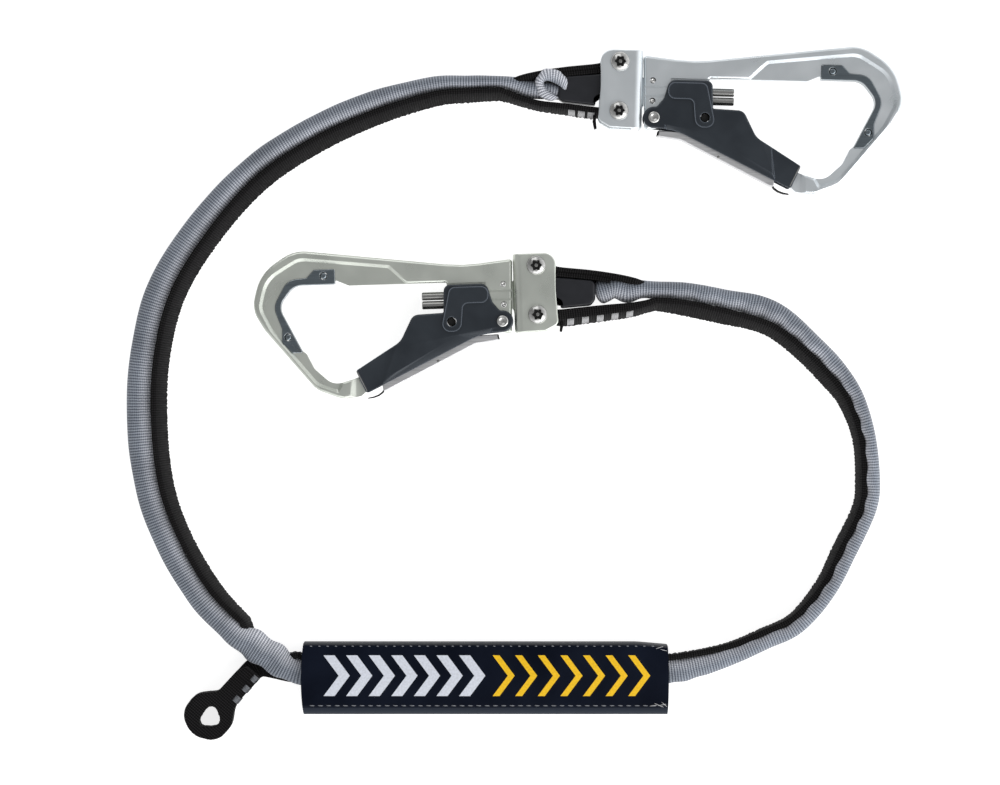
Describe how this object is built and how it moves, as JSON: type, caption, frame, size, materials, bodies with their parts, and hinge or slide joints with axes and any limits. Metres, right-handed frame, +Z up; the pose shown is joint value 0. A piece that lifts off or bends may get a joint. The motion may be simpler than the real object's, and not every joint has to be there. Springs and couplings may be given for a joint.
{
  "type": "shock absorbing lanyard",
  "caption": "Twin-arm fall-arrest lanyard lying flat: vinyl-covered energy absorber, short tether with sewn eye, and curved strap-and-tube arms ending in gated hooks.",
  "frame": {"origin": "middle of the absorber cover's flat underside", "axes": "+X along the cover towards the arm of the inner hook, +Y from the cover towards the hooks, +Z up off the surface it lies on"},
  "size_m": [0.4189, 0.3747, 0.0274],
  "materials": {
    "anodised": "bead-blasted and anodised silver, satin",
    "charcoal": "hard anodised charcoal grey, satin",
    "dark_steel": "dark polished steel",
    "bright_steel": "bright zinc plated steel",
    "black_webbing": "ribbed black polyamide webbing",
    "grey_weave": "grey-blue woven tube, fine cross ribs",
    "navy_vinyl": "navy-black coated vinyl cloth, grained, stitched",
    "black_rubber": "black moulded rubber",
    "tear_webbing": "undyed folded tear webbing, hidden"
  },
  "bodies": {
    "root": {"absorber_cover": "navy_vinyl", "absorber_pack": "tear_webbing", "tether_root": "black_webbing"},
    "tether": {"tether_eye": "black_webbing"},
    "arm_a": {"arm_tube_a": "grey_weave", "arm_strap_a": "black_webbing", "link_cable_a": "bright_steel"},
    "arm_b": {"arm_tube_b": "grey_weave", "arm_strap_b": "black_webbing", "link_cable_b": "bright_steel"},
    "hook_a": {"frame_a": "anodised", "wear_insert_a": "dark_steel", "insert_rivet_upper_a": "bright_steel", "insert_rivet_lower_a": "bright_steel", "gate_pin_a": "bright_steel", "plunger_spring_a": "bright_steel", "bracket_a": "anodised", "clamp_screw_upper_a": "bright_steel", "clamp_screw_lower_a": "bright_steel", "barrel_nut_upper_a": "bright_steel", "barrel_nut_lower_a": "bright_steel", "roll_pin_upper_a": "bright_steel", "roll_pin_lower_a": "bright_steel", "strap_loop_a": "black_webbing", "strain_boot_a": "black_rubber", "tube_end_a": "grey_weave"},
    "gate_a": {"gate_a": "charcoal", "gate_spring_a": "bright_steel", "trigger_pin_top_a": "dark_steel", "trigger_pin_back_a": "dark_steel", "trigger_spring_a": "bright_steel"},
    "trigger_a": {"trigger_a": "bright_steel"},
    "plunger_a": {"plunger_a": "bright_steel"},
    "hook_b": {"frame_b": "anodised", "wear_insert_b": "dark_steel", "insert_rivet_upper_b": "bright_steel", "insert_rivet_lower_b": "bright_steel", "gate_pin_b": "bright_steel", "plunger_spring_b": "bright_steel", "bracket_b": "anodised", "clamp_screw_upper_b": "bright_steel", "clamp_screw_lower_b": "bright_steel", "barrel_nut_upper_b": "bright_steel", "barrel_nut_lower_b": "bright_steel", "roll_pin_upper_b": "bright_steel", "roll_pin_lower_b": "bright_steel", "strap_loop_b": "black_webbing", "strain_boot_b": "black_rubber", "tube_end_b": "grey_weave"},
    "gate_b": {"gate_b": "charcoal", "gate_spring_b": "bright_steel", "trigger_pin_top_b": "dark_steel", "trigger_pin_back_b": "dark_steel", "trigger_spring_b": "bright_steel"},
    "trigger_b": {"trigger_b": "bright_steel"},
    "plunger_b": {"plunger_b": "bright_steel"}
  },
  "joints": [
    {"name": "arm_a_lift", "type": "hinge", "parent": "root", "child": "arm_a", "pos_m": [-0.1, 0.0033, 0.011], "axis": [1, 0, 0], "range_deg": [0, 75]},
    {"name": "arm_b_lift", "type": "hinge", "parent": "root", "child": "arm_b", "pos_m": [0.1, 0.0033, 0.011], "axis": [1, 0, 0], "range_deg": [0, 75]},
    {"name": "tether_swing", "type": "hinge", "parent": "root", "child": "tether", "pos_m": [-0.1245, 0.0065, 0.0079], "axis": [0, 0, 1], "range_deg": [-25, 25], "stiffness_Nm_per_rad": 0.3},
    {"name": "wrist_a", "type": "hinge", "parent": "arm_a", "child": "hook_a", "pos_m": [0.00777, 0.31929, 0.014], "axis": [0, 0, 1], "range_deg": [-12, 40], "stiffness_Nm_per_rad": 0.3},
    {"name": "gate_a", "type": "hinge", "parent": "hook_a", "child": "gate_a", "pos_m": [0.09087, 0.30321, 0.014], "axis": [0, 0, 1], "range_deg": [0, 20], "stiffness_Nm_per_rad": 0.25, "springref_deg": -34.38, "deforming": ["gate_spring_a"]},
    {"name": "trigger_a", "type": "hinge", "parent": "gate_a", "child": "trigger_a", "pos_m": [0.11838, 0.30299, 0.014], "axis": [0, 0, 1], "range_deg": [0, 4], "stiffness_Nm_per_rad": 0.5, "springref_deg": -17.19, "deforming": ["trigger_spring_a"]},
    {"name": "plunger_a", "type": "slide", "parent": "hook_a", "child": "plunger_a", "axis": [-0.9997, 0.0262, 0], "range_m": [0, 0.006], "stiffness_N_per_m": 400, "springref_m": -0.008, "deforming": ["plunger_spring_a"]},
    {"name": "wrist_b", "type": "hinge", "parent": "arm_b", "child": "hook_b", "pos_m": [0.09237, 0.20523, 0.014], "axis": [0, 0, 1], "range_deg": [-8, 40], "stiffness_Nm_per_rad": 0.3},
    {"name": "gate_b", "type": "hinge", "parent": "hook_b", "child": "gate_b", "pos_m": [0.00921, 0.19321, 0.014], "axis": [0, 0, -1], "range_deg": [0, 20], "stiffness_Nm_per_rad": 0.25, "springref_deg": -34.38, "deforming": ["gate_spring_b"]},
    {"name": "trigger_b", "type": "hinge", "parent": "gate_b", "child": "trigger_b", "pos_m": [-0.01829, 0.19285, 0.014], "axis": [0, 0, -1], "range_deg": [0, 4], "stiffness_Nm_per_rad": 0.5, "springref_deg": -17.19, "deforming": ["trigger_spring_b"]},
    {"name": "plunger_b", "type": "slide", "parent": "hook_b", "child": "plunger_b", "axis": [0.9995, 0.0314, 0], "range_m": [0, 0.006], "stiffness_N_per_m": 400, "springref_m": -0.008, "deforming": ["plunger_spring_b"]}
  ]
}
